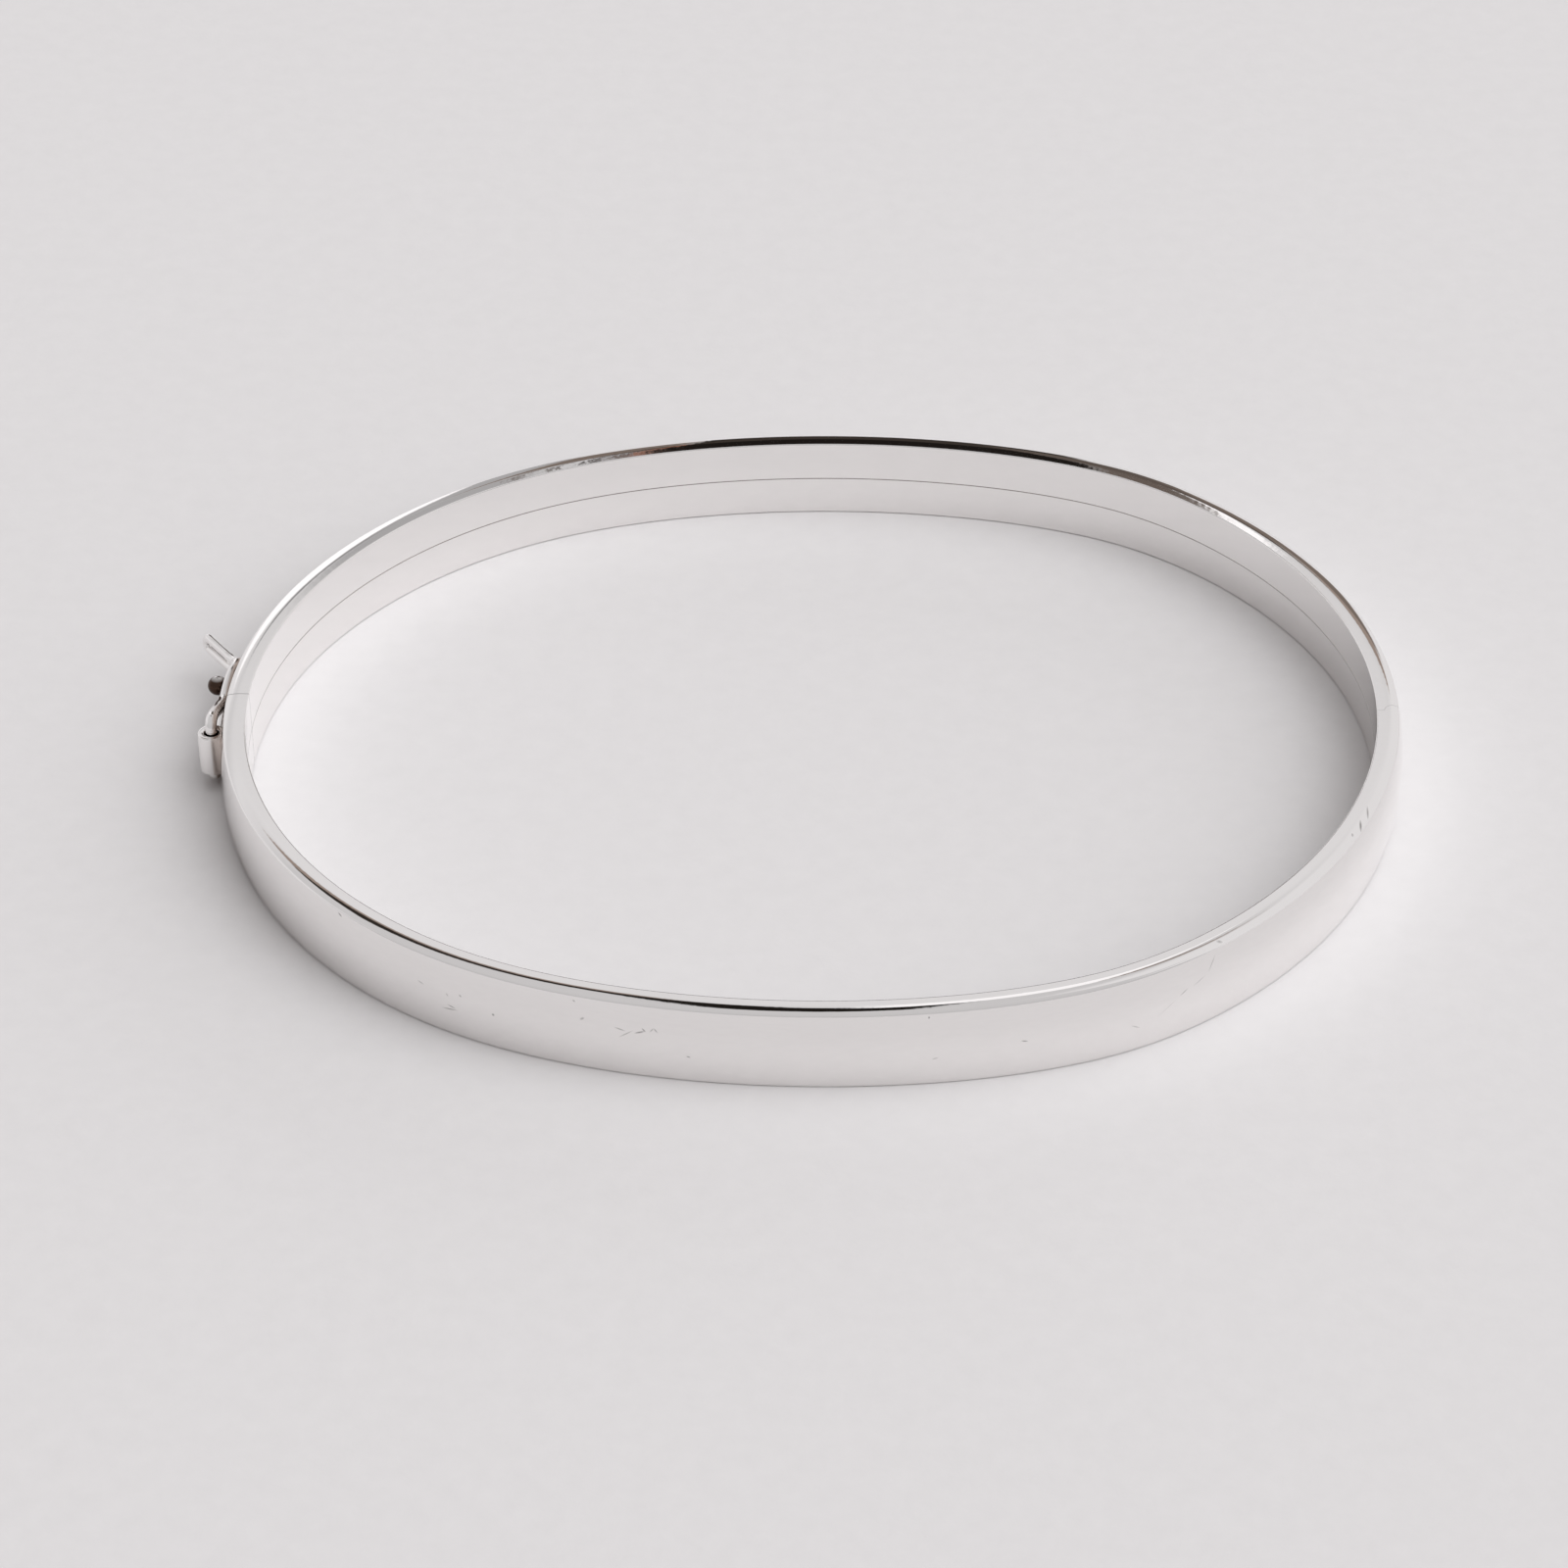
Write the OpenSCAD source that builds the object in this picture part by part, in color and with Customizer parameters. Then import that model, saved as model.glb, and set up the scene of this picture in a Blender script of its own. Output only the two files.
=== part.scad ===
// Hinged oval bangle of hollow D-section tube, lying on its side.
// The origin is the middle of the oval on the plane that it rests on, +X is the long axis
// towards the hinge, and the clasp end with its figure-eight safety catch is at -X.

/* [Oval] */
// Clear width across the inside of the oval
inner_width = 53; // [50:0.5:56]
// Radius of the inner wall at the hinge end
hinge_end_r = 26; // [25:0.5:27]
// Radius of the flanks beside the hinge end
hinge_flank_r = 28; // [27:0.5:29]
// Radius of the long sides
side_r = 44.5; // [43:0.5:46]
// Radius of the inner wall at the clasp end
clasp_end_r = 26; // [25:0.5:27]

/* [Band] */
// Height of the band, which is its width when it is worn
band_h = 4.5; // [4:0.1:6]
// Greatest thickness, from the inner wall to the top of the dome
band_t = 1.45; // [1.4:0.05:1.8]
// Radius of the domed outer face, seen in section
dome_r = 5.1; // [4.6:0.1:7]
// Rounding of the outer edges
outer_edge_r = 0.3; // [0.2:0.05:0.35]
// Rounding of the inner edges
inner_edge_r = 0.2; // [0.1:0.05:0.25]
// Thickness of the sheet that the tube is made of
sheet_t = 0.35; // [0.3:0.05:0.4]

/* [Hinge] */
// Distance from the hinge's axis to the outer face
hinge_depth = 0.5; // [0.45:0.01:0.55]
// Radius of the hinge pin
hinge_pin_r = 0.2; // [0.18:0.01:0.22]
// Height of the middle knuckle
middle_knuckle_h = 1.5; // [1.2:0.1:1.8]

/* [Clasp] */
// Thickness of the tongue
tongue_t = 0.4; // [0.35:0.05:0.45]
// Height of the tongue
tongue_h = 2.2; // [1.8:0.1:2.4]
// How far the tongue reaches into the front half
tongue_reach = 3.2; // [2.5:0.1:3.3]

/* [Safety catch] */
// Radius of the figure-eight wire
wire_r = 0.32; // [0.28:0.01:0.33]
// Outer radius of the tube that the wire turns in
tube_r = 0.75; // [0.7:0.01:0.8]
// Length of that tube
tube_h = 2.3; // [2:0.1:2.6]
// Radius of the ball on the post
ball_r = 0.54; // [0.5:0.01:0.55]
// Length of the finger tab from its bend
tab_length = 3.8; // [3:0.1:4]
// Turn of the tab away from the long axis of the loops
tab_turn = 40; // [35:1:45]

/* [Hidden] */
$fn = 96;
mid_h = band_h / 2;
// gap between the closed halves, and round each piece that is seated in another
split_gap = 0.06;
seat_gap = 0.02;
silver = "#d5d3cf";

// The inner wall's half is six tangent arcs from the hinge end to the clasp end. The directions
// of their joins are whole-number triangles, so that neighbouring arcs meet exactly.
joins = [[1, 0], [0.96, 0.28], [0.6, 0.8], [0.28, 0.96], [-0.28, 0.96], [-0.6, 0.8], [-1, 0]];
// the shoulders' radii follow from the width
hinge_shoulder_r = (inner_width / 2 - hinge_end_r * joins[1][1] - hinge_flank_r * (joins[2][1] - joins[1][1])
    - side_r * (1 - joins[3][1])) / (joins[3][1] - joins[2][1]);
clasp_shoulder_r = (inner_width / 2 - clasp_end_r * joins[5][1] - side_r * (1 - joins[4][1]))
    / (joins[4][1] - joins[5][1]);
radii = [hinge_end_r, hinge_flank_r, hinge_shoulder_r, side_r, clasp_shoulder_r, clasp_end_r];
last_arc = len(radii) - 1;
function length_from(i) =
    i > last_arc ? 0 : radii[i] * (joins[i][0] - joins[i + 1][0]) + length_from(i + 1);
half_length = length_from(0) / 2;
// each arc's centre lies on the line through the last centre and the join between the two arcs
function arc_centre(i) =
    i == 0 ? [half_length - hinge_end_r, 0] : arc_centre(i - 1) + (radii[i - 1] - radii[i]) * joins[i];

// Section of the band: x is the distance out from the inner wall, y the height.
dome_x = band_t - dome_r;
edge_x = dome_x + sqrt(pow(dome_r - outer_edge_r, 2) - pow(mid_h - outer_edge_r, 2));
dome_end_y = mid_h - dome_r * (mid_h - outer_edge_r) / (dome_r - outer_edge_r);

// The tube is closed by solid blocks beside the hinge and the clasp, given as angles.
hinge_block = 5;
clasp_block = 10;

// The knuckles are a little larger than the hinge's depth, and are ground flush with the dome.
hinge_x = half_length + band_t - hinge_depth;
knuckle_r = hinge_depth + 0.03;
knuckle_gap = 0.06;
knuckle_end_gap = 0.03;
knuckle_low = mid_h - middle_knuckle_h / 2;
knuckle_high = mid_h + middle_knuckle_h / 2;
pin_running_gap = 0.04;
pin_cover = 0.4;

// The clasp's pieces are placed by an angle from the split, plus towards the back half,
// and by a distance out from the inner wall.
clasp_centre = arc_centre(last_arc);
function at_clasp(a, out) = clasp_centre + (clasp_end_r + out) * [-cos(a), sin(a)];
tube_pos = at_clasp(-4.3, 1.9);
tube_bore_r = wire_r + 0.09;
post_angle = 8.3;
post_r = 0.3;
post_sunk = 0.4;
ball_out = 2.7;

// The tongue and its slot are arcs round the hinge, so the tongue leaves without touching.
tongue_arc_r = hinge_x + half_length + 0.72;
tongue_root = 2.4;
slot_gap = 0.06;
slot_end_gap = 0.2;

// Route of the wire's upper half, from inside the tube round the near loop and the far loop:
// angle from the split, distance out, height over the band's middle.
loop_rows = [
    [-4.3, 1.90, 1.05],
    [-4.3, 1.90, 1.30],
    [-4.1, 1.90, 1.56],
    [-3.1, 1.89, 1.66],
    [-1.0, 1.87, 1.32],
    [1.8, 1.86, 0.75],
    [4.6, 1.86, 0.31],
    [6.4, 1.84, 0.62],
    [8.4, 1.83, 0.88],
    [10.5, 1.85, 0.84]];
tab_start = at_clasp(12.7, 2.05);
tab_along = [-sin(tab_turn), cos(tab_turn)];
tab_half_w = 0.55;
function tab_point(along, high) = concat(tab_start + along * tab_along, mid_h + high);
tab_straight = tab_length - tab_half_w - wire_r;
route = concat(
    [for (row = loop_rows) concat(at_clasp(row[0], row[1]), mid_h + row[2])],
    [for (along = [0, 1, 2, tab_straight]) tab_point(along, tab_half_w)],
    [for (a = [30, 60, 90]) tab_point(tab_straight + tab_half_w * sin(a), tab_half_w * cos(a))]);
wire_sides = 10;
rings_per_span = 4;
// a direction that the wire never runs along, to hang its rings on
outward = [-1, 0.2, 0];

// Point on a smooth curve through a list of points, from point i towards the next one.
function clamped(list, i) = list[max(0, min(len(list) - 1, i))];
function smooth(list, i, t) =
    let (a = clamped(list, i - 1), b = list[i], c = clamped(list, i + 1), d = clamped(list, i + 2))
    (2 * b + (c - a) * t + (2 * a - 5 * b + 4 * c - d) * t * t + (3 * b - a - 3 * c + d) * t * t * t) / 2;
function unit(v) = v / norm(v);

// Section of the band.
module band_section() {
    translate([inner_edge_r, 0]) square([edge_x - inner_edge_r, band_h]);
    translate([0, inner_edge_r]) square([edge_x, band_h - 2 * inner_edge_r]);
    for (y = [inner_edge_r, band_h - inner_edge_r]) {
        translate([inner_edge_r, y]) circle(inner_edge_r);
    }
    for (y = [outer_edge_r, band_h - outer_edge_r]) {
        translate([edge_x, y]) circle(outer_edge_r);
    }
    intersection() {
        translate([dome_x, mid_h]) circle(dome_r);
        translate([inner_edge_r, dome_end_y]) square([band_t, band_h - 2 * dome_end_y]);
    }
}

// Section of the hollow inside it.
module hollow_section() {
    intersection() {
        translate([dome_x, mid_h]) circle(dome_r - sheet_t);
        translate([sheet_t, sheet_t]) square([band_t, band_h - 2 * sheet_t]);
    }
}

// Sweeps a section along the back half's arcs, between two directions of the end arcs.
module along_arcs(first, last) {
    for (i = [0:last_arc]) {
        from = 3 * half_length * (i == 0 ? first : joins[i]);
        to = 3 * half_length * (i == last_arc ? last : joins[i + 1]);
        translate(arc_centre(i)) intersection() {
            rotate_extrude() translate([radii[i], 0]) children();
            translate([0, 0, -1]) linear_extrude(band_h + 2) polygon([[0, 0], from, from + to, to]);
        }
    }
}

// Half of the hollow band on the back's side of the split. The first child is the half's own
// knuckles, which cross the split, and the second is the room for the other half's knuckles.
module half_band() {
    difference() {
        along_arcs([joins[1][0], -joins[1][1]], joins[last_arc + 1]) band_section();
        along_arcs([cos(hinge_block), sin(hinge_block)], [-cos(clasp_block), sin(clasp_block)]) hollow_section();
        difference() {
            translate([-2 * half_length, -half_length, -1])
                cube([4 * half_length, half_length + split_gap / 2, band_h + 2]);
            children(0);
        }
        children(1);
    }
}

// A cylinder on the hinge's axis between two heights.
module on_hinge(r, low, high) {
    translate([hinge_x, 0, low]) cylinder(r = r, h = high - low);
}

// The middle knuckle, or the room for it.
module middle_knuckle(r, end_gap) {
    on_hinge(r, knuckle_low - end_gap, knuckle_high + end_gap);
}

// The two outer knuckles, or the room for them.
module outer_knuckles(r, end_gap) {
    on_hinge(r, -1, knuckle_low - end_gap);
    on_hinge(r, knuckle_high + end_gap, band_h + 1);
}

// An arc round the hinge through the clasp, between two distances past the split.
module tongue_arc(grow, from_y, to_y) {
    from = asin(from_y / tongue_arc_r);
    to = asin(to_y / tongue_arc_r);
    translate([hinge_x, 0]) rotate(180 - to) rotate_extrude(angle = to - from, $fn = 360)
        translate([tongue_arc_r - tongue_t / 2 - grow, mid_h - tongue_h / 2 - grow])
            square([tongue_t + 2 * grow, tongue_h + 2 * grow]);
}

// Front half, with the outer knuckles, the clasp's slot and the tube of the safety catch.
module front_half() {
    color(silver) difference() {
        union() {
            mirror([0, 1, 0]) half_band() {
                outer_knuckles(knuckle_r, knuckle_end_gap);
                middle_knuckle(knuckle_r + knuckle_gap, knuckle_end_gap);
            }
            translate([tube_pos[0], tube_pos[1], mid_h - tube_h / 2]) cylinder(r = tube_r, h = tube_h);
        }
        translate([tube_pos[0], tube_pos[1], 0]) cylinder(r = tube_bore_r, h = band_h);
        tongue_arc(slot_gap, -tongue_reach - slot_end_gap, 1);
        on_hinge(hinge_pin_r + seat_gap, pin_cover - seat_gap, band_h - pin_cover + seat_gap);
    }
}

// Back half, with the middle knuckle, the tongue's pocket and the ball post that the catch holds.
module back_half() {
    foot = at_clasp(post_angle, band_t - post_sunk);
    post_length = ball_out - band_t + post_sunk;
    color(silver) difference() {
        union() {
            half_band() {
                middle_knuckle(knuckle_r, 0);
                outer_knuckles(knuckle_r + knuckle_gap, 0);
            }
            translate([foot[0], foot[1], mid_h]) rotate([0, 90, 180 - post_angle]) {
                cylinder(r = post_r, h = post_length);
                translate([0, 0, post_length]) sphere(ball_r);
            }
        }
        tongue_arc(seat_gap, -1, tongue_root + seat_gap);
        on_hinge(hinge_pin_r + pin_running_gap, 0, band_h);
    }
}

// Pin of the hinge, hidden inside the knuckles.
module hinge_pin() {
    color(silver) on_hinge(hinge_pin_r, pin_cover, band_h - pin_cover);
}

// Tongue of the clasp, seated in the back half and reaching into the front half.
module clasp_tongue() {
    color(silver) tongue_arc(0, -tongue_reach, tongue_root);
}

// The wire's upper half: a round wire along the route, closed at both ends.
module half_wire() {
    spans = len(route) - 1;
    points = concat(
        [for (i = [0:spans - 1]) for (k = [0:rings_per_span - 1]) smooth(route, i, k / rings_per_span)],
        [route[spans]]);
    last = len(points) - 1;
    rings = [for (i = [0:last])
        let (
            forward = i == last ? [0, 0, -1] : unit(clamped(points, i + 1) - clamped(points, i - 1)),
            side = unit(cross(forward, outward)),
            up = cross(side, forward))
        for (k = [0:wire_sides - 1])
            points[i] + wire_r * (cos(360 * k / wire_sides) * side + sin(360 * k / wire_sides) * up)];
    skin = [for (i = [0:last - 1]) for (k = [0:wire_sides - 1])
        let (a = i * wire_sides + k, b = i * wire_sides + (k + 1) % wire_sides)
        [a, b, b + wire_sides, a + wire_sides]];
    start_cap = [for (k = [wire_sides - 1:-1:0]) k];
    end_cap = [for (k = [0:wire_sides - 1]) last * wire_sides + k];
    polyhedron(points = rings, faces = concat([start_cap], skin, [end_cap]));
}

// Figure-eight catch: the wire turns in the tube, and its far loop lies round the ball post.
module safety_catch() {
    color(silver) {
        half_wire();
        translate([0, 0, band_h]) mirror([0, 0, 1]) half_wire();
        translate([tube_pos[0], tube_pos[1], mid_h - tube_h / 2]) cylinder(r = wire_r, h = tube_h);
    }
}

front_half();
back_half();
hinge_pin();
clasp_tongue();
safety_catch();
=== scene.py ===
"""An oval hinged bangle of polished sterling silver, lying flat on pale card."""

import math

import bmesh
import bpy
from mathutils import Matrix, Vector


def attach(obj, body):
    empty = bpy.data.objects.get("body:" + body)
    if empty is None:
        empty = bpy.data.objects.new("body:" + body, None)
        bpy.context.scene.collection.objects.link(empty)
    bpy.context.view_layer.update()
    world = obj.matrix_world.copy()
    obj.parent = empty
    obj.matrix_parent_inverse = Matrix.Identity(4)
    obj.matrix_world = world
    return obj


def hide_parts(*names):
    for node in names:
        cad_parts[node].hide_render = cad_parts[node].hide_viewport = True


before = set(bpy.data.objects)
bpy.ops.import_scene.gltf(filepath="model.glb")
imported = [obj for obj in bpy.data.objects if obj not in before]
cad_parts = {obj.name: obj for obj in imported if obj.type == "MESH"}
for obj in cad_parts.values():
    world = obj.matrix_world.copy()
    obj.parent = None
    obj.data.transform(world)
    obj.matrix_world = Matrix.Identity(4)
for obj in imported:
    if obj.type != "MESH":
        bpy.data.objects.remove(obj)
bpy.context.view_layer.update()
MM = 0.001

# Oval of the inner wall, in millimetres: the outward directions at the joins between its tangent
# arcs, and the arcs' radii, from the hinge end to the clasp end. The front half is its mirror image.
JOINS = [(1, 0), (0.96, 0.28), (0.6, 0.8), (0.28, 0.96), (-0.28, 0.96), (-0.6, 0.8), (-1, 0)]
RADII = [26, 28, 18, 44.5, 24.5, 26]
HALF_LENGTH = sum(r * (a[0] - b[0]) for r, a, b in zip(RADII, JOINS, JOINS[1:])) / 2
# Polishing has blended each arc into the next over about this angle.
BLEND = math.radians(9)
BLEND_STEPS = 6

# Band, in millimetres. The upper rim is flat inside, then crowned down to the edge that the dome
# starts at. The lower rim stands flat on the card. Polishing has taken a little off the dome.
BAND_H = 4.5
BAND_T = 1.45
POLISHED_OFF = 0.008
MID_H = BAND_H / 2
CROWN_START = 0.5
CROWN_END = 1.09
CROWN_R = 2.3
OUTER_EDGE_R = 0.15
INNER_EDGE_R = 0.06
FOOT_EDGE_R = 0.08
SEAM_Z = 2.235
SEAM_HALF_W = 0.018
SEAM_DEPTH = 0.02

# Points along the section's straight stretches, which keep the faces there narrow and even.
RIM_FLAT_POINTS = (0.4, 0.25, 0.08)
WALL_POINTS_OVER_SEAM = (4.3, 3.6, 2.9)
WALL_POINTS_UNDER_SEAM = (1.6, 0.9, 0.2)
FOOT_POINTS = (0.3, 0.6, 0.85)
BESIDE_SEAM = 0.03

# Where the crown passes into the outer edge, tangent to it.
CROWN_TILT = math.asin((CROWN_END - CROWN_START) / CROWN_R)
EDGE_X = CROWN_END - OUTER_EDGE_R * math.sin(CROWN_TILT)
EDGE_Z = BAND_H - CROWN_R + (CROWN_R - OUTER_EDGE_R) * math.cos(CROWN_TILT)
# The dome is the arc through the band's full thickness that is tangent to the upper outer edge.
DOME_OUT = BAND_T - POLISHED_OFF
EDGE_RISE = EDGE_Z - MID_H
EDGE_SETBACK = EDGE_X - DOME_OUT
DOME_R = (OUTER_EDGE_R**2 - EDGE_SETBACK**2 - EDGE_RISE**2) / (2 * (EDGE_SETBACK + OUTER_EDGE_R))
DOME_X = DOME_OUT - DOME_R
DOME_TOP = math.asin(EDGE_RISE / (DOME_R - OUTER_EDGE_R))
DOME_FOOT = math.asin((MID_H - FOOT_EDGE_R) / (DOME_R - FOOT_EDGE_R))
FOOT_X = DOME_X + (DOME_R - FOOT_EDGE_R) * math.cos(DOME_FOOT)

# A half is spun as part of a ring, from a little past the hinge to the split.
SPIN_R = 27
SPIN_STEPS = 366
STUB = math.radians(3)

# Hinge, in millimetres: three knuckles on an upright axis, flush with the band.
HINGE_INSET = 0.5
HINGE_X = HALF_LENGTH + BAND_T - HINGE_INSET
HINGE_GAP = 0.012
KNUCKLE_R = 0.53
KNUCKLE_ROOM = 0.542
KNUCKLE_HALF_H = 0.75
KNUCKLE_LOW = MID_H - KNUCKLE_HALF_H
KNUCKLE_HIGH = MID_H + KNUCKLE_HALF_H
KNUCKLE_END_GAP = 0.012
# A cutter for what is spun past the hinge, and how far the cutters reach past the rims.
PAST_RIM = 1
STUB_LOW = (HALF_LENGTH - 1, -4, -PAST_RIM)
STUB_HIGH = (HALF_LENGTH + 3, HINGE_GAP / 2, BAND_H + PAST_RIM)

# Clasp, in millimetres: the split, and the slot that the tongue slides into round the hinge.
SPLIT_GAP = 0.03
CLASP_R = RADII[-1]
CLASP_CENTRE = Vector((CLASP_R - HALF_LENGTH, 0))
SLOT_OUT = 0.72
SLOT_HALF_W = 0.26
SLOT_HALF_H = 1.16
SLOT_START = 0.4
SLOT_LENGTH = 3.8

# Safety catch, in millimetres and degrees from the split: its tube, its ball post and its wire.
TUBE_ANGLE = -4.3
TUBE_OUT = 1.9
TUBE_R = 0.75
TUBE_BORE_R = 0.41
TUBE_H = 2.3
TUBE_EDGE = 0.07
POST_ANGLE = 8.3
POST_R = 0.3
POST_SUNK = 0.4
FLARE_R = 0.18
FLARE_SUNK = 0.02
BALL_OUT = 2.7
BALL_R = 0.54
WIRE_R = 0.32

# Route of the catch's upper wire: degrees from the split, distance out, height over the middle.
LOOP_ROWS = [
    (-4.3, 1.90, 0.0),
    (-4.3, 1.90, 1.05),
    (-4.3, 1.90, 1.30),
    (-4.1, 1.90, 1.56),
    (-3.1, 1.89, 1.66),
    (-1.0, 1.87, 1.32),
    (1.8, 1.86, 0.75),
    (4.6, 1.86, 0.31),
    (6.4, 1.84, 0.62),
    (8.4, 1.83, 0.88),
    (10.5, 1.85, 0.84),
]
# The finger tab goes on from the loop, turned by this much from the Y axis. Its two wires are
# flattened, so they are drawn thinner than the loop's, and a little thinner already at its foot.
TAB_TURN = math.radians(37)
TAB_HALF_W = 0.36
TAB_LENGTH = 3.5
TAB_STRAIGHT = TAB_LENGTH - TAB_HALF_W - WIRE_R
TAB_FOOT_THIN = 0.92
TAB_THIN = 0.75


def direction(angle):
    """Unit vector at an angle in radians."""
    return Vector((math.cos(angle), math.sin(angle)))


def at_clasp(degrees, out):
    """Place beside the clasp: an angle from the split towards the back half, and a distance out."""
    a = math.radians(180 - degrees)
    return CLASP_CENTRE + (CLASP_R + out) * direction(a)


# Where the finger tab's straight wires start, a little off the loop's own curve.
TAB_FOOT = at_clasp(12.7, 2.05) + Vector((-0.3, -0.24))

JOIN_ANGLES = [math.atan2(y, x) for x, y in JOINS]
CENTRES = [Vector((HALF_LENGTH - RADII[0], 0))]
for i in range(1, len(RADII)):
    CENTRES.append(CENTRES[-1] + (RADII[i - 1] - RADII[i]) * Vector(JOINS[i]))


def arc_point(angle):
    """Point of the tangent arcs whose outward direction has this angle."""
    turn = abs((angle + math.pi) % (2 * math.pi) - math.pi)
    i = 0
    while i < len(RADII) - 1 and turn > JOIN_ANGLES[i + 1]:
        i += 1
    p = CENTRES[i] + RADII[i] * direction(turn)
    return p if math.sin(angle) >= 0 else Vector((p.x, -p.y))


def blended_point(angle):
    """The same point with each arc blended into the next, as a mean over nearby directions."""
    total = Vector((0, 0))
    for k in range(-BLEND_STEPS, BLEND_STEPS + 1):
        turn = BLEND * k / BLEND_STEPS
        total += Matrix.Rotation(-turn, 2) @ arc_point(angle + turn)
    return total / (2 * BLEND_STEPS + 1)


# The blend changes the oval's length and width a little, so it is brought back to size.
QUARTER = math.pi / 2
LENGTH_BACK = HALF_LENGTH / blended_point(0).x
WIDTH_BACK = arc_point(QUARTER).y / blended_point(QUARTER).y
BACK_TO_SIZE = Vector((LENGTH_BACK, WIDTH_BACK))


def wall_point(angle):
    """Point of the polished oval's inner wall whose outward direction has this angle."""
    return blended_point(angle) * BACK_TO_SIZE


def arc(x, y, r, start, end, steps):
    """Points of an arc in a section, with angles in radians."""
    angles = [start + (end - start) * k / steps for k in range(steps + 1)]
    return [(x + r * math.cos(a), y + r * math.sin(a)) for a in angles]


def band_section():
    """Closed outline of the band's section: distance out from the inner wall, and height."""
    dome = arc(DOME_X, MID_H, DOME_R, -DOME_FOOT, DOME_TOP, 28)[:-1]
    edge = arc(EDGE_X, EDGE_Z, OUTER_EDGE_R, DOME_TOP, QUARTER - CROWN_TILT, 8)[:-1]
    crown = arc(CROWN_START, BAND_H - CROWN_R, CROWN_R, QUARTER - CROWN_TILT, QUARTER, 8)
    flat = [(x, BAND_H) for x in RIM_FLAT_POINTS]
    inner = arc(INNER_EDGE_R, BAND_H - INNER_EDGE_R, INNER_EDGE_R, QUARTER, 2 * QUARTER, 6)
    seam_top = SEAM_Z + SEAM_HALF_W + BESIDE_SEAM
    seam_foot = SEAM_Z - SEAM_HALF_W - BESIDE_SEAM
    above_seam = [(0, z) for z in (*WALL_POINTS_OVER_SEAM, seam_top)]
    seam = [(SEAM_DEPTH * x, SEAM_Z + SEAM_HALF_W * y) for x, y in arc(0, 0, 1, QUARTER, -QUARTER, 6)]
    below_seam = [(0, z) for z in (seam_foot, *WALL_POINTS_UNDER_SEAM)]
    foot_inside = arc(FOOT_EDGE_R, FOOT_EDGE_R, FOOT_EDGE_R, 2 * QUARTER, 3 * QUARTER, 6)
    under = [(x, 0) for x in FOOT_POINTS]
    foot_outside = arc(FOOT_X, FOOT_EDGE_R, FOOT_EDGE_R, -QUARTER, -DOME_FOOT, 8)[:-1]
    rims = dome + edge + crown + flat + inner
    return rims + above_seam + seam + below_seam + foot_inside + under + foot_outside


def mesh_of(name, bm):
    """A mesh with a bmesh's shape. The bmesh is freed."""
    mesh = bpy.data.meshes.new(name)
    bm.to_mesh(mesh)
    bm.free()
    return mesh


def linked(name, data):
    """An object in the scene with this data."""
    obj = bpy.data.objects.new(name, data)
    bpy.context.scene.collection.objects.link(obj)
    return obj


def upright_outline(bm, points, closed=True):
    """Vertices and edges of an outline over the X axis, from points in millimetres."""
    verts = [bm.verts.new((x * MM, 0, z * MM)) for x, z in points]
    following = verts[1:] + verts[:1] if closed else verts[1:]
    edges = [bm.edges.new(pair) for pair in zip(verts, following)]
    return verts, edges


def half_band():
    """The band's section spun from past the hinge to the split, then bent from a ring to the oval.
    An attribute marks the seam."""
    bm = bmesh.new()
    verts, edges = upright_outline(bm, [(SPIN_R + x, z) for x, z in band_section()])
    bmesh.ops.rotate(bm, verts=verts, cent=(0, 0, 0), matrix=Matrix.Rotation(-STUB, 3, "Z"))
    bmesh.ops.contextual_create(bm, geom=edges)
    turn = math.pi - SPLIT_GAP / 2 / CLASP_R + STUB
    made = bmesh.ops.spin(
        bm, geom=verts + edges, cent=(0, 0, 0), axis=(0, 0, 1), dvec=(0, 0, 0), angle=turn, steps=SPIN_STEPS
    )
    bmesh.ops.contextual_create(bm, geom=[e for e in made["geom_last"] if isinstance(e, bmesh.types.BMEdge)])
    in_seam = bm.verts.layers.float.new("seam")
    # a hair more than the seam's own size, so that the points on its edges are in it
    seam_out = SEAM_DEPTH * MM * 1.01
    seam_up = SEAM_HALF_W * MM * 1.01
    for v in bm.verts:
        angle = math.atan2(v.co.y, v.co.x)
        out = v.co.xy.length - SPIN_R * MM
        if out < seam_out and abs(v.co.z - SEAM_Z * MM) < seam_up:
            v[in_seam] = 1
        v.co.xy = wall_point(angle) * MM + out * direction(angle)
    bmesh.ops.recalc_face_normals(bm, faces=bm.faces)
    return mesh_of("half_band", bm)


def mirrored(mesh):
    """The mesh as it is on the other side of the bangle's long axis."""
    bm = bmesh.new()
    bm.from_mesh(mesh)
    bmesh.ops.scale(bm, vec=(1, -1, 1), verts=bm.verts)
    bmesh.ops.recalc_face_normals(bm, faces=bm.faces)
    return mesh_of("mirrored", bm)


def stub_box():
    """A box over what is spun past the hinge."""
    bm = bmesh.new()
    bmesh.ops.create_cube(bm, size=1)
    size = Vector(STUB_HIGH) - Vector(STUB_LOW)
    middle = (Vector(STUB_HIGH) + Vector(STUB_LOW)) / 2
    bmesh.ops.scale(bm, vec=size * MM, verts=bm.verts)
    bmesh.ops.translate(bm, vec=middle * MM, verts=bm.verts)
    return mesh_of("box", bm)


def hinge_cylinder(radius, low, high):
    """A cylinder on the hinge's axis between two heights, in millimetres."""
    bm = bmesh.new()
    r = radius * MM
    bmesh.ops.create_cone(bm, cap_ends=True, segments=128, radius1=r, radius2=r, depth=(high - low) * MM)
    bmesh.ops.translate(bm, vec=Vector((HINGE_X, 0, (low + high) / 2)) * MM, verts=bm.verts)
    return mesh_of("cylinder", bm)


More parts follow.
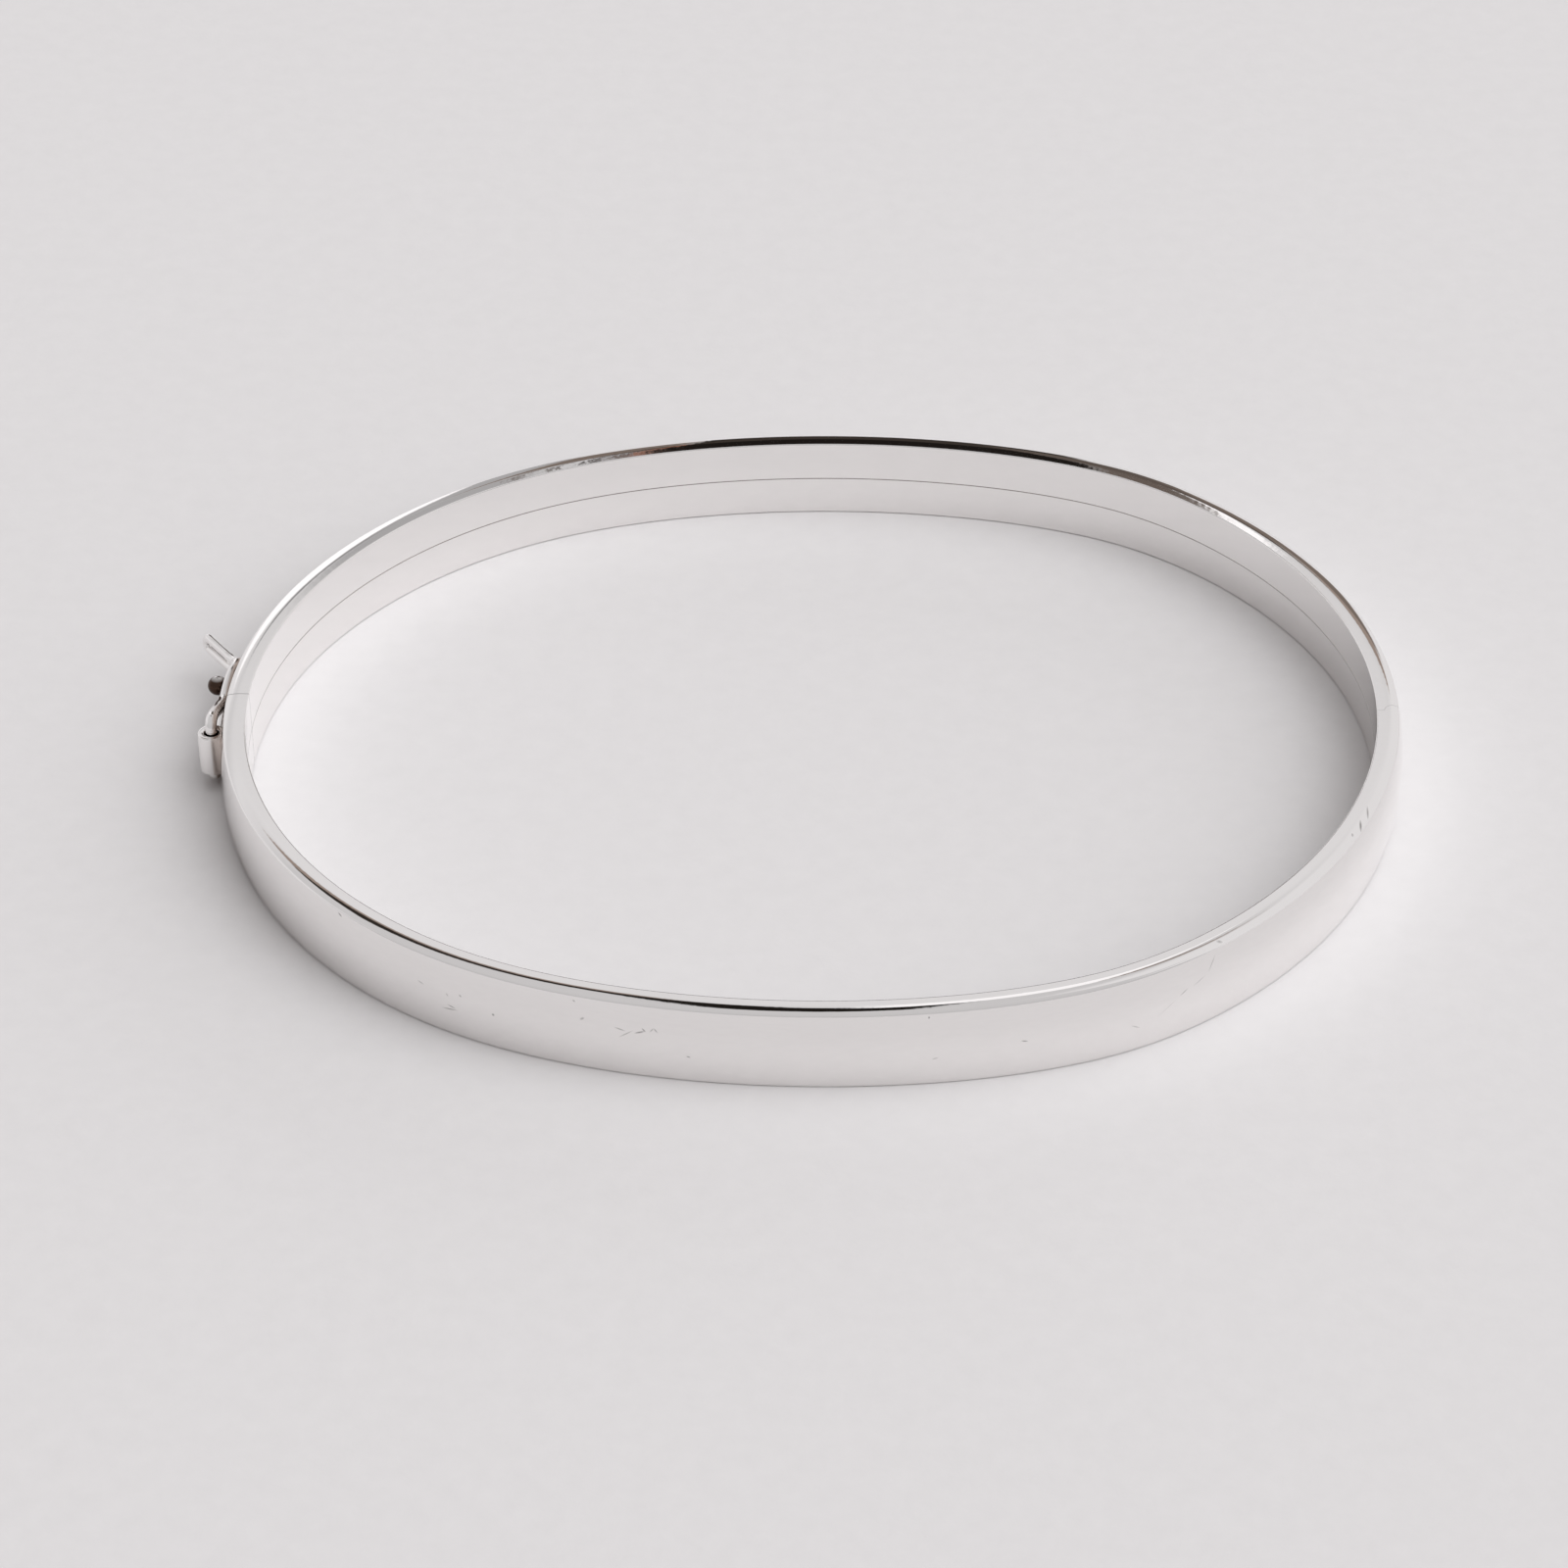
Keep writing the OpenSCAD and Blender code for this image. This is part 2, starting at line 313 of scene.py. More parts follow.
def tongue_slot():
    """The slot's outline spun round the hinge, from just behind the split into the front half."""
    bm = bmesh.new()
    radius = HINGE_X + HALF_LENGTH + SLOT_OUT
    corners = [(-SLOT_HALF_W, -SLOT_HALF_H), (SLOT_HALF_W, -SLOT_HALF_H)]
    corners += [(SLOT_HALF_W, SLOT_HALF_H), (-SLOT_HALF_W, SLOT_HALF_H)]
    verts = [bm.verts.new((-(radius + x) * MM, SLOT_START * MM, (MID_H + z) * MM)) for x, z in corners]
    face = bm.faces.new(verts)
    turn = SLOT_LENGTH / radius
    bmesh.ops.spin(bm, geom=[face], cent=(0, 0, 0), axis=(0, 0, 1), dvec=(0, 0, 0), angle=turn, steps=8)
    bmesh.ops.translate(bm, vec=(HINGE_X * MM, 0, 0), verts=bm.verts)
    bmesh.ops.recalc_face_normals(bm, faces=bm.faces)
    return mesh_of("slot", bm)


def evaluated_mesh(obj):
    """The object's mesh with its modifiers or its curve's thickness. The object is removed."""
    bpy.context.view_layer.update()
    mesh = bpy.data.meshes.new_from_object(obj.evaluated_get(bpy.context.evaluated_depsgraph_get()))
    bpy.data.objects.remove(obj)
    return mesh


def carved(mesh, tool):
    """The mesh after another solid is cut from it."""
    target = linked("target", mesh)
    cutter = linked("cutter", tool)
    cut = target.modifiers.new("cut", "BOOLEAN")
    cut.operation = "DIFFERENCE"
    cut.object = cutter
    cut.solver = "EXACT"
    made = evaluated_mesh(target)
    bpy.data.objects.remove(cutter)
    return made


def back_band():
    """The back half: what is past the hinge is cut off round its own middle knuckle, and room is
    cut for the front half's two knuckles."""
    past_hinge = carved(stub_box(), hinge_cylinder(KNUCKLE_R, KNUCKLE_LOW, KNUCKLE_HIGH))
    band = carved(half_band(), past_hinge)
    band = carved(band, hinge_cylinder(KNUCKLE_ROOM, -PAST_RIM, KNUCKLE_LOW))
    return carved(band, hinge_cylinder(KNUCKLE_ROOM, KNUCKLE_HIGH, BAND_H + PAST_RIM))


def front_band():
    """The front half: what is past the hinge is cut off round its own two knuckles, room is cut
    for the back half's knuckle, and the slot for the tongue is cut at the other end."""
    low_end = KNUCKLE_LOW - KNUCKLE_END_GAP
    high_end = KNUCKLE_HIGH + KNUCKLE_END_GAP
    past_hinge = carved(mirrored(stub_box()), hinge_cylinder(KNUCKLE_R, -2 * PAST_RIM, low_end))
    past_hinge = carved(past_hinge, hinge_cylinder(KNUCKLE_R, high_end, BAND_H + 2 * PAST_RIM))
    band = carved(mirrored(half_band()), past_hinge)
    band = carved(band, hinge_cylinder(KNUCKLE_ROOM, low_end, high_end))
    return carved(band, tongue_slot())


def turned_about_z(points, steps, closed=True):
    """A bmesh of an outline turned about Z by a full turn, as on a lathe."""
    bm = bmesh.new()
    verts, edges = upright_outline(bm, points, closed)
    bmesh.ops.spin(
        bm,
        geom=verts + edges,
        cent=(0, 0, 0),
        axis=(0, 0, 1),
        dvec=(0, 0, 0),
        angle=2 * math.pi,
        steps=steps,
        use_merge=True,
    )
    bmesh.ops.remove_doubles(bm, verts=bm.verts, dist=0.0001 * MM)
    bmesh.ops.recalc_face_normals(bm, faces=bm.faces)
    return bm


def catch_tube():
    """The short tube that the safety catch turns in, with softened ends."""
    half = TUBE_H / 2
    bm = turned_about_z([(TUBE_BORE_R, -half), (TUBE_R, -half), (TUBE_R, half), (TUBE_BORE_R, half)], 96)
    rims = [e for e in bm.edges if e.calc_face_angle(0) > 1]
    bmesh.ops.bevel(
        bm,
        geom=rims,
        offset=TUBE_EDGE * MM,
        offset_type="OFFSET",
        segments=4,
        profile=0.5,
        affect="EDGES",
        material=-1,
    )
    centre = at_clasp(TUBE_ANGLE, TUBE_OUT)
    bmesh.ops.translate(bm, vec=Vector((centre.x, centre.y, MID_H)) * MM, verts=bm.verts)
    return mesh_of("tube", bm)


def ball_post():
    """The post with its ball end, turned as one piece and soldered on with a small flare."""
    length = BALL_OUT - BAND_T + POST_SUNK
    neck = math.asin(POST_R / BALL_R)
    flare_x = POST_R + FLARE_R
    flare_z = POST_SUNK - FLARE_SUNK + FLARE_R
    outline = [(0, 0), (flare_x, 0)]
    outline += arc(flare_x, flare_z, FLARE_R, -QUARTER, -2 * QUARTER, 6)
    outline += arc(0, length, BALL_R, neck - QUARTER, QUARTER, 24)
    # the outline ends on the axis, so that the ball is closed
    outline[-1] = (0, length + BALL_R)
    bm = turned_about_z(outline, 48, closed=False)
    foot = at_clasp(POST_ANGLE, BAND_T - POST_SUNK)
    along = direction(math.radians(180 - POST_ANGLE))
    turn = Vector((along.x, along.y, 0)).to_track_quat("Z", "Y").to_matrix().to_4x4()
    bm.transform(Matrix.Translation(Vector((foot.x, foot.y, MID_H)) * MM) @ turn)
    return mesh_of("post", bm)


def smooth_route(points, per_span):
    """A closed smooth curve through the points."""
    made = []
    n = len(points)
    for i in range(n):
        a, b, c, d = (points[(i + k) % n] for k in (-1, 0, 1, 2))
        for k in range(per_span):
            t = k / per_span
            bend = (2 * a - 5 * b + 4 * c - d) * t * t
            made.append((2 * b + (c - a) * t + bend + (3 * b - a - 3 * c + d) * t**3) / 2)
    return made


def figure_eight_route():
    """The wire's middle line, in millimetres from the band's middle height: the upper wire, then
    the lower one back again. The fourth part is how thick the wire is there."""
    upper = [(*at_clasp(a, out), h, 1) for a, out, h in LOOP_ROWS]
    along = Vector((-math.sin(TAB_TURN), math.cos(TAB_TURN)))
    for reach in (0, 1, 2, TAB_STRAIGHT):
        thick = TAB_THIN if reach else TAB_FOOT_THIN
        upper.append((*(TAB_FOOT + reach * along), TAB_HALF_W, thick))
    for a in (30, 60, 90):
        tip = TAB_FOOT + (TAB_STRAIGHT + TAB_HALF_W * math.sin(math.radians(a))) * along
        upper.append((*tip, TAB_HALF_W * math.cos(math.radians(a)), TAB_THIN))
    return upper + [(x, y, -h, thick) for x, y, h, thick in reversed(upper[1:-1])]


def figure_eight_wire():
    """The safety catch: one wire bent into a figure eight with a finger tab, closed in the tube."""
    route = [Vector((x * MM, y * MM, (MID_H + h) * MM, thick)) for x, y, h, thick in figure_eight_route()]
    points = smooth_route(route, 8)
    curve = bpy.data.curves.new("wire", "CURVE")
    curve.dimensions = "3D"
    curve.bevel_depth = WIRE_R * MM
    curve.bevel_resolution = 6
    spline = curve.splines.new("POLY")
    spline.points.add(len(points) - 1)
    for target, p in zip(spline.points, points):
        target.co = (*p[:3], 1)
        target.radius = p[3]
    spline.use_cyclic_u = True
    bm = bmesh.new()
    bm.from_mesh(evaluated_mesh(linked("wire", curve)))
    bmesh.ops.recalc_face_normals(bm, faces=bm.faces)
    return mesh_of("wire", bm)


def add(tree, kind, inputs=(), **settings):
    """Adds a node with its settings, and gives its sockets their values or links."""
    node = tree.nodes.new(kind)
    for key, value in settings.items():
        setattr(node, key, value)
    for key, value in dict(inputs).items():
        if isinstance(value, bpy.types.NodeSocket):
            tree.links.new(value, node.inputs[key])
        else:
            node.inputs[key].default_value = value
    return node


def linear(hex_colour):
    """An sRGB hex colour as linear RGBA."""
    parts = [int(hex_colour[i : i + 2], 16) / 255 for i in (1, 3, 5)]
    return tuple(c / 12.92 if c <= 0.04045 else ((c + 0.055) / 1.055) ** 2.4 for c in parts) + (1,)


def scale_for(width):
    """The texture scale that gives a pattern this width, in millimetres."""
    return 1 / (width * MM)


# Patterns in the silver and the card, in millimetres. The ripple is a few thousandths of a
# millimetre deep. Real hairlines are a few hundredths of a millimetre wide, drawn wider to show.
HANDLED_PATCH_W = 6.25
RIPPLE_W = 1 / 2.2
RIPPLE_DEPTH = 0.002
HAIRLINE_L = 2.5
HAIRLINE_W = 1 / 9
HAIRLINE_DEPTH = 0.01
MOTTLE_W = 1 / 0.7
MOTTLE_DEPTH = 0.2
# Painted shade fades out over this on each side of its limit. The last is a limit past everything.
SHADE_FADE_OUT = 0.06
SHADE_FADE_UP = 0.1
EVERYWHERE = 10


def marked(tree, coords, marks):
    """How strongly each point is marked: every mark is a soft ellipsoid, in millimetres, with its
    middle, its three half sizes, its turn about Y in degrees, and its strength."""
    total = None
    for middle, halves, turn, strength in marks:
        place = {"Location": Vector(middle) * MM, "Rotation": (0, math.radians(turn), 0)}
        placed = {"Vector": coords, **place, "Scale": Vector(halves) * MM}
        local = add(tree, "ShaderNodeMapping", placed, vector_type="TEXTURE")
        size = add(tree, "ShaderNodeVectorMath", {0: local.outputs[0]}, operation="LENGTH")
        faded = {"From Min": 1, "From Max": 0.3, "To Min": 0, "To Max": strength}
        mark = add(tree, "ShaderNodeMapRange", {"Value": size.outputs["Value"], **faded}).outputs[0]
        if total is not None:
            mark = add(tree, "ShaderNodeMath", {0: total, 1: mark}, operation="MAXIMUM").outputs[0]
        total = mark
    return total


def painted_shade_mask(tree, coords, within, under):
    """1 within a distance out from the band's inner wall, which is an arc here, and under a height: the mask
    for painted shade.
    """
    flat = add(tree, "ShaderNodeVectorMath", {0: coords, 1: (1, 1, 0)}, operation="MULTIPLY")
    centre = Vector((*CLASP_CENTRE, 0)) * MM
    out = add(tree, "ShaderNodeVectorMath", {0: flat.outputs[0], 1: centre}, operation="DISTANCE")
    place = add(tree, "ShaderNodeSeparateXYZ", {"Vector": coords})
    measures = [
        (out.outputs["Value"], (CLASP_R + within) * MM, SHADE_FADE_OUT * MM),
        (place.outputs["Z"], under * MM, SHADE_FADE_UP * MM),
    ]
    masks = []
    for measure, limit, fade in measures:
        sizes = {"Value": measure, "From Min": limit + fade, "From Max": limit - fade}
        masks.append(add(tree, "ShaderNodeMapRange", sizes).outputs[0])
    return add(tree, "ShaderNodeMath", {0: masks[0], 1: masks[1]}, operation="MULTIPLY").outputs[0]


def dulled_and_shaded(tree, colour, rough, mask, hex_colour, roughness):
    """The colour and the roughness with a duller, darker tone over them where the mask is. It serves both
    for worn marks and for painted shade.
    """
    tones = {"Factor": mask, "A": colour, "B": linear(hex_colour)}
    mixed = add(tree, "ShaderNodeMix", tones, data_type="RGBA")
    added = add(tree, "ShaderNodeMath", {0: mask, 1: roughness, 2: rough}, operation="MULTIPLY_ADD")
    return mixed.outputs["Result"], added.outputs[0]


def polished_sterling_silver(name, marks=(), shade_colour=None, within=EVERYWHERE, under=EVERYWHERE):
    """Sterling silver polished on a wheel: bright and nearly white, with a faint ripple left by the
    wheel and fine hairlines from wear. Dents and scratches in it look grey. Close to the band and
    under a height it can carry painted shade: a brown that stands in for shade and dark reflections."""
    material = bpy.data.materials.new(name)
    material.use_nodes = True
    tree = material.node_tree
    shader = tree.nodes["Principled BSDF"]
    shader.inputs["Metallic"].default_value = 1
    coords = add(tree, "ShaderNodeTexCoord").outputs["Object"]
    # handling leaves soft patches a few millimetres wide that are a little less bright
    handled = {"Vector": coords, "Scale": scale_for(HANDLED_PATCH_W), "Detail": 3, "Roughness": 0.55}
    patches = add(tree, "ShaderNodeTexNoise", handled).outputs["Fac"]
    spread = {"Value": patches, "From Min": 0.35, "From Max": 0.7, "To Min": 0.02, "To Max": 0.05}
    rough = add(tree, "ShaderNodeMapRange", spread).outputs[0]
    tones = {"Factor": patches, "A": linear("#f6f4f3"), "B": linear("#f2f0ef")}
    tone = add(tree, "ShaderNodeMix", tones, data_type="RGBA")
    # the solder seam has kept a faint line of polishing dirt
    seam = add(tree, "ShaderNodeAttribute", attribute_name="seam")
    dirt = {"Factor": seam.outputs["Fac"], "A": tone.outputs["Result"], "B": linear("#b4afac")}
    colour = add(tree, "ShaderNodeMix", dirt, data_type="RGBA").outputs["Result"]
    if marks:
        # a mark scatters the light, so that it looks darker than the mirror round it
        colour, rough = dulled_and_shaded(tree, colour, rough, marked(tree, coords, marks), "#4f4a47", 0.35)
    # painted shade: a darker brown close to the band and under a height, in place of shade and dark
    # reflections
    if shade_colour:
        mask = painted_shade_mask(tree, coords, within, under)
        colour, rough = dulled_and_shaded(tree, colour, rough, mask, shade_colour, 0.15)
    tree.links.new(colour, shader.inputs["Base Color"])
    tree.links.new(rough, shader.inputs["Roughness"])
    long_and_thin = (scale_for(HAIRLINE_L), scale_for(HAIRLINE_L), scale_for(HAIRLINE_W))
    stretch = add(tree, "ShaderNodeMapping", {"Vector": coords, "Scale": long_and_thin})
    lines = add(tree, "ShaderNodeTexNoise", {"Vector": stretch.outputs[0], "Scale": 1, "Detail": 2})
    hairlines = {"Height": lines.outputs["Fac"], "Strength": 0.15, "Distance": HAIRLINE_DEPTH * MM}
    bump = add(tree, "ShaderNodeBump", hairlines)
    waves = add(tree, "ShaderNodeTexNoise", {"Vector": coords, "Scale": scale_for(RIPPLE_W), "Detail": 1})
    ripple = {"Height": waves.outputs["Fac"], "Strength": 0.5, "Distance": RIPPLE_DEPTH * MM}
    bump = add(tree, "ShaderNodeBump", {**ripple, "Normal": bump.outputs[0]})
    tree.links.new(bump.outputs[0], shader.inputs["Normal"])
    return material


def pale_card():
    """Uncoated pale card: matt, with a faint mottle from its fibres."""
    material = bpy.data.materials.new("pale_card")
    material.use_nodes = True
    tree = material.node_tree
    shader = tree.nodes["Principled BSDF"]
    shader.inputs["Roughness"].default_value = 0.9
    shader.inputs["Specular IOR Level"].default_value = 0.2
    coords = add(tree, "ShaderNodeTexCoord").outputs["Object"]
    fibres = {"Vector": coords, "Scale": scale_for(MOTTLE_W), "Detail": 4, "Roughness": 0.6}
    mottle = add(tree, "ShaderNodeTexNoise", fibres).outputs["Fac"]
    tones = {"Factor": mottle, "A": linear("#e4e2e3"), "B": linear("#ebe9ea")}
    tone = add(tree, "ShaderNodeMix", tones, data_type="RGBA")
    tree.links.new(tone.outputs["Result"], shader.inputs["Base Color"])
    bump = add(tree, "ShaderNodeBump", {"Height": mottle, "Strength": 0.1, "Distance": MOTTLE_DEPTH * MM})
    tree.links.new(bump.outputs[0], shader.inputs["Normal"])
    return material


# Marks of wear on the front half: dents and short scratches on its face, and dents in its outer
# edge. Each has its middle, its half sizes, its turn about Y and its strength.
FACE_MARKS = [
    # one small dent near the left end, two dashes and a few specks
    ((-22.9, -19.5, 4.2), (0.14, 1, 0.06), 30, 0.6),
    ((-18.5, -23.3, 2.75), (0.2, 1, 0.05), 19, 0.4),
    ((-17.1, -24.1, 2.6), (0.12, 1, 0.05), 57, 0.35),
    ((-16.4, -24.4, 2.8), (0.1, 1, 0.06), 46, 0.5),
    ((-17.0, -24.1, 1.75), (0.5, 1, 0.045), -10, 0.6),
    ((-16.9, -24.2, 1.95), (0.25, 1, 0.045), 14, 0.6),
    ((-14.7, -25.2, 2.25), (0.09, 1, 0.09), 0, 0.6),
    ((-10.5, -26.3, 4.1), (0.1, 1, 0.06), 28, 0.4),
    ((-10.1, -26.6, 3.2), (0.16, 1, 0.08), -37, 0.4),
    # the cluster of short crossing scratches left of the middle
    ((-8.2, -27.0, 2.93), (0.33, 1, 0.05), 14, 0.45),
    ((-7.9, -27.1, 2.7), (0.5, 1, 0.04), -35, 0.4),
    ((-7.2, -27.2, 2.9), (0.33, 1, 0.06), -19, 0.6),
    ((-7.0, -27.2, 3.05), (0.16, 1, 0.05), 46, 0.6),
    ((-6.6, -27.3, 3.1), (0.18, 1, 0.045), -51, 0.4),
    ((-6.4, -27.3, 3.1), (0.18, 1, 0.045), 52, 0.5),
    ((-4.8, -27.6, 1.7), (0.13, 1, 0.05), 14, 0.6),
    # specks right of the middle
    ((7.1, -27.2, 4.15), (0.06, 1, 0.08), 0, 0.6),
    ((7.4, -27.4, 1.75), (0.2, 1, 0.06), -14, 0.3),
    ((11.8, -26.6, 2.25), (0.2, 1, 0.05), 14, 0.6),
    ((17.3, -24.5, 1.65), (0.3, 1, 0.045), 35, 0.35),
    # the long scratch across the right of the face, and the dent where it meets the rim
    ((21.06, -21.74, 3.68), (0.5, 1, 0.035), -67, 0.35),
    ((20.45, -22.4, 3.03), (0.4, 1, 0.035), -27, 0.3),
    ((19.68, -23.0, 2.75), (0.3, 1, 0.035), -34, 0.5),
    ((18.9, -23.6, 2.2), (0.7, 1, 0.03), -35, 0.2),
    ((21.4, -20.95, 4.4), (0.2, 0.14, 0.12), 0, 0.5),
    # dents in the outer edge near the hinge
    ((28.8, -10.6, 4.42), (0.08, 0.6, 0.12), 0, 0.7),
    ((29.2, -9.4, 4.42), (0.07, 0.7, 0.12), 0, 0.6),
    ((28.35, -11.5, 4.42), (0.07, 0.2, 0.12), 0, 0.5),
]

silver = polished_sterling_silver("polished_sterling_silver")
scratched_silver = polished_sterling_silver("scratched_sterling_silver", FACE_MARKS)
# painted shade: brown on the side towards the band, and almost black on the ball's underside
tube_silver = polished_sterling_silver("silver_with_painted_shade_on_tube", shade_colour="#cbc1bb", within=TUBE_OUT)
wire_silver = polished_sterling_silver("silver_with_painted_shade_on_wire", shade_colour="#b0a299", within=1.8)
ball_silver = polished_sterling_silver("silver_with_painted_shade_on_ball", shade_colour="#46372f", under=MID_H + 0.5)


def piece(name, mesh, body, material, stands_for=()):
    """Shows a finished mesh as a piece of the bangle."""
    mesh.name = name
    mesh.materials.clear()
    mesh.materials.append(material)
    mesh.shade_smooth()
    mesh.set_sharp_from_angle(angle=math.radians(32))
    obj = linked(name, mesh)
    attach(obj, body)
    if stands_for:
        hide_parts(*stands_for)


piece("back_band", back_band(), "back", silver, ["back_half"])
piece("front_band", front_band(), "front", scratched_silver, ["front_half"])
piece("catch_tube", catch_tube(), "front", tube_silver)
piece("ball_post", ball_post(), "back", ball_silver)
piece("catch_wire", figure_eight_wire(), "catch", wire_silver, ["safety_catch"])
for name in ("hinge_pin", "clasp_tongue"):
    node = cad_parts[name]
    node.data.materials.clear()
    node.data.materials.append(silver)

# Card that the bangle lies on, a hair under it.
CARD_DROP = 0.02
floor_bm = bmesh.new()
bmesh.ops.create_grid(floor_bm, x_segments=1, y_segments=1, size=3)
floor_mesh = mesh_of("card", floor_bm)
floor_mesh.materials.append(pale_card())
floor = linked("card", floor_mesh)
floor.location.z = -CARD_DROP * MM

# Light, as linear colours: the tints of pale and of dark surroundings, the warm light from
# everywhere, the broad light from high on the right, and the low window beyond it.
PALE_TINT = (1, 0.982, 0.99)
DARK_TINT = (1.25, 1, 0.86)
WARM_LIGHT = (0.058, 0.042, 0.033, 1)
KEY_LIGHT = (2.37, 2.37, 2.38, 1)
LOW_WINDOW = (1.5, 1.5, 1.52, 1)

# Where the lights are: azimuths to the right of the camera's heading and heights over the
# horizon, all in degrees, and the softness of the window's edges across and up.
HEADING = math.radians(3.45)
KEY_AT = (115, 60)
KEY_FALL_OFF = 3
LOW_WINDOW_AT = ((5, 78), (2, 24))
LOW_WINDOW_SOFT = (20, 4)


def pale(level):
    """Colour of something pale in the room at a brightness."""
    return (*(level * c for c in PALE_TINT), 1)


def dark(level):
    """Colour of something dark in the room at a brightness. It is warmer than the pale walls."""
    return (*(level * c for c in DARK_TINT), 1)


# The room's tones by height in degrees, behind the bangle and on the camera's side of it.
TONES_BEHIND = [
    (-90, 0.7), (0, 0.72), (24, 0.85), (31, 0.66), (35, 0.78), (38, 0.74), (43, 0.62), (60, 0.62), (90, 0.6),
]
TONES_BEFORE = [(-90, 0.7), (0, 0.6), (13, 0.56), (35, 0.57), (60, 0.6), (90, 0.6)]

# What else the silver mirrors, as patches of the room: azimuths, heights, the softness of the
# edges, and the colour. Later rows lie over earlier ones. The dark block stands behind the bangle.
ROOM = [
    ("pale wall on the left", (-60, -13), (-5, 28), 3, pale(0.8)),
    ("bright wall on the left", (-18, -8), (-5, 27), 2, pale(1.15)),
    ("grey wall on the left", (-8.2, -4.8), (0, 29), 1, pale(0.42)),
    ("grey wall higher up", (-5.6, -2.9), (29.5, 33.4), 1, pale(0.42)),
    ("grey square on the wall", (-9.6, -5.6), (28.6, 31.4), 0.8, pale(0.3)),
    ("grey beam", (-18, -2.2), (38.4, 42), 1.2, dark(0.26)),
    ("dark beam", (-19, -0.5), (41, 46.5), 1.2, dark(0.025)),
    ("dark ceiling", (-5.5, 4), (43.5, 56.5), 1.4, dark(0.01)),
    ("edge of the ceiling", (5, 26), (42.8, 45.6), 0.8, dark(0.2)),
    ("bright panel under the ceiling", (1.1, 7.6), (37.8, 46), 1.2, pale(1.05)),
    ("pale wall on the right", (14, 110), (-10, 60), 8, pale(0.8)),
    ("grey side of the dark block", (-5, -1.6), (8, 29), 1, dark(0.16)),
    ("dark block", (-1.56, 3.8), (4, 33.3), 0.15, dark(0.01)),
    ("foot of the dark block", (-1.56, 6.3), (4, 26), 1, dark(0.035)),
    ("edge of the dark block", (3.8, 5.25), (25, 33.3), 0.3, dark(0.11)),
    ("dark board beside the block", (3.8, 9.5), (14, 30.2), 0.6, dark(0.09)),
    ("grey board on the right", (8, 18), (17, 26.5), 1.6, dark(0.15)),
    ("top of the grey board", (9.8, 16.5), (26, 30.4), 0.9, dark(0.26)),
    ("first slat", (-1.98, -1.78), (21, 33.3), 0.08, dark(0.03)),
    ("second slat", (-2.3, -2.1), (21, 33.3), 0.08, dark(0.04)),
    ("third slat", (-2.72, -2.6), (21, 33.3), 0.1, dark(0.08)),
    ("fourth slat", (-3.2, -3.08), (21, 33.3), 0.1, dark(0.12)),
    ("glint on the edge", (5.2, 5.9), (30.6, 33), 0.3, pale(1.15)),
    ("orange strip", (-1.74, -1.56), (22, 32.8), 0.12, (0.30, 0.10, 0.04, 1)),
]
# A patch's upper and lower edges are never softer than this.
MAX_SOFT_UP = 3


def toward(azimuth, height):
    """Unit vector toward an azimuth to the right of the heading and a height, in degrees."""
    a = math.radians(azimuth)
    h = math.radians(height)
    return Vector((math.sin(a) * math.cos(h), math.cos(a) * math.cos(h), math.sin(h)))


def fill_ramp(node, stops):
    """Gives a ramp its stops: heights in degrees and brightnesses."""
    ramp = node.color_ramp
    while len(ramp.elements) > 1:
        ramp.elements.remove(ramp.elements[-1])
    for k, (degrees, level) in enumerate(stops):
        at = (degrees + 90) / 180
        stop = ramp.elements[0] if k == 0 else ramp.elements.new(at)
        stop.position = at
        stop.color = pale(level)


def between(tree, value, limits, soft):
    """1 between two limits and 0 outside them, with soft edges, all in degrees."""
    low, high = (math.radians(limit) for limit in limits)
    half = (high - low) / 2
    fade = math.radians(soft) / 2
    middle = add(tree, "ShaderNodeMath", {0: value, 1: (low + high) / 2}, operation="SUBTRACT")
    off = add(tree, "ShaderNodeMath", {0: middle.outputs[0]}, operation="ABSOLUTE")
    edge = {"From Min": half - fade, "From Max": half + fade, "To Min": 1, "To Max": 0}
    sizes = {"Value": off.outputs[0], **edge}
    return add(tree, "ShaderNodeMapRange", sizes, interpolation_type="SMOOTHSTEP").outputs[0]


def in_window(tree, azimuth, height, place, soft):
    """1 inside a window given by its azimuths and heights, and 0 outside it, with soft edges."""
    across, up = place
    masks = {0: between(tree, azimuth, across, soft[0]), 1: between(tree, height, up, soft[1])}
    return add(tree, "ShaderNodeMath", masks, operation="MULTIPLY").outputs[0]


def mirrored_room(tree, depth, azimuth, height):
    """The room that the silver mirrors: soft tones by height, with the patches over them."""
    ends = {"Value": height, "From Min": -QUARTER, "From Max": QUARTER, "To Min": 0, "To Max": 1}
    share = add(tree, "ShaderNodeMapRange", ends)
    before = add(tree, "ShaderNodeValToRGB", {"Fac": share.outputs[0]})
    fill_ramp(before, TONES_BEFORE)
    behind = add(tree, "ShaderNodeValToRGB", {"Fac": share.outputs[0]})
    fill_ramp(behind, TONES_BEHIND)
    sides = {"Value": depth, "From Min": -0.2, "From Max": 0.2, "To Min": 0, "To Max": 1}
    side = add(tree, "ShaderNodeMapRange", sides)
    around = {"Factor": side.outputs[0], "A": before.outputs["Color"], "B": behind.outputs["Color"]}
    seen = add(tree, "ShaderNodeMix", around, data_type="RGBA").outputs["Result"]
    for name, across, up, soft, colour in ROOM:
        patch = in_window(tree, azimuth, height, (across, up), (soft, min(soft, MAX_SOFT_UP)))
        laid_over = {"Factor": patch, "A": seen, "B": colour}
        seen = add(tree, "ShaderNodeMix", laid_over, data_type="RGBA", label=name).outputs["Result"]
    return seen


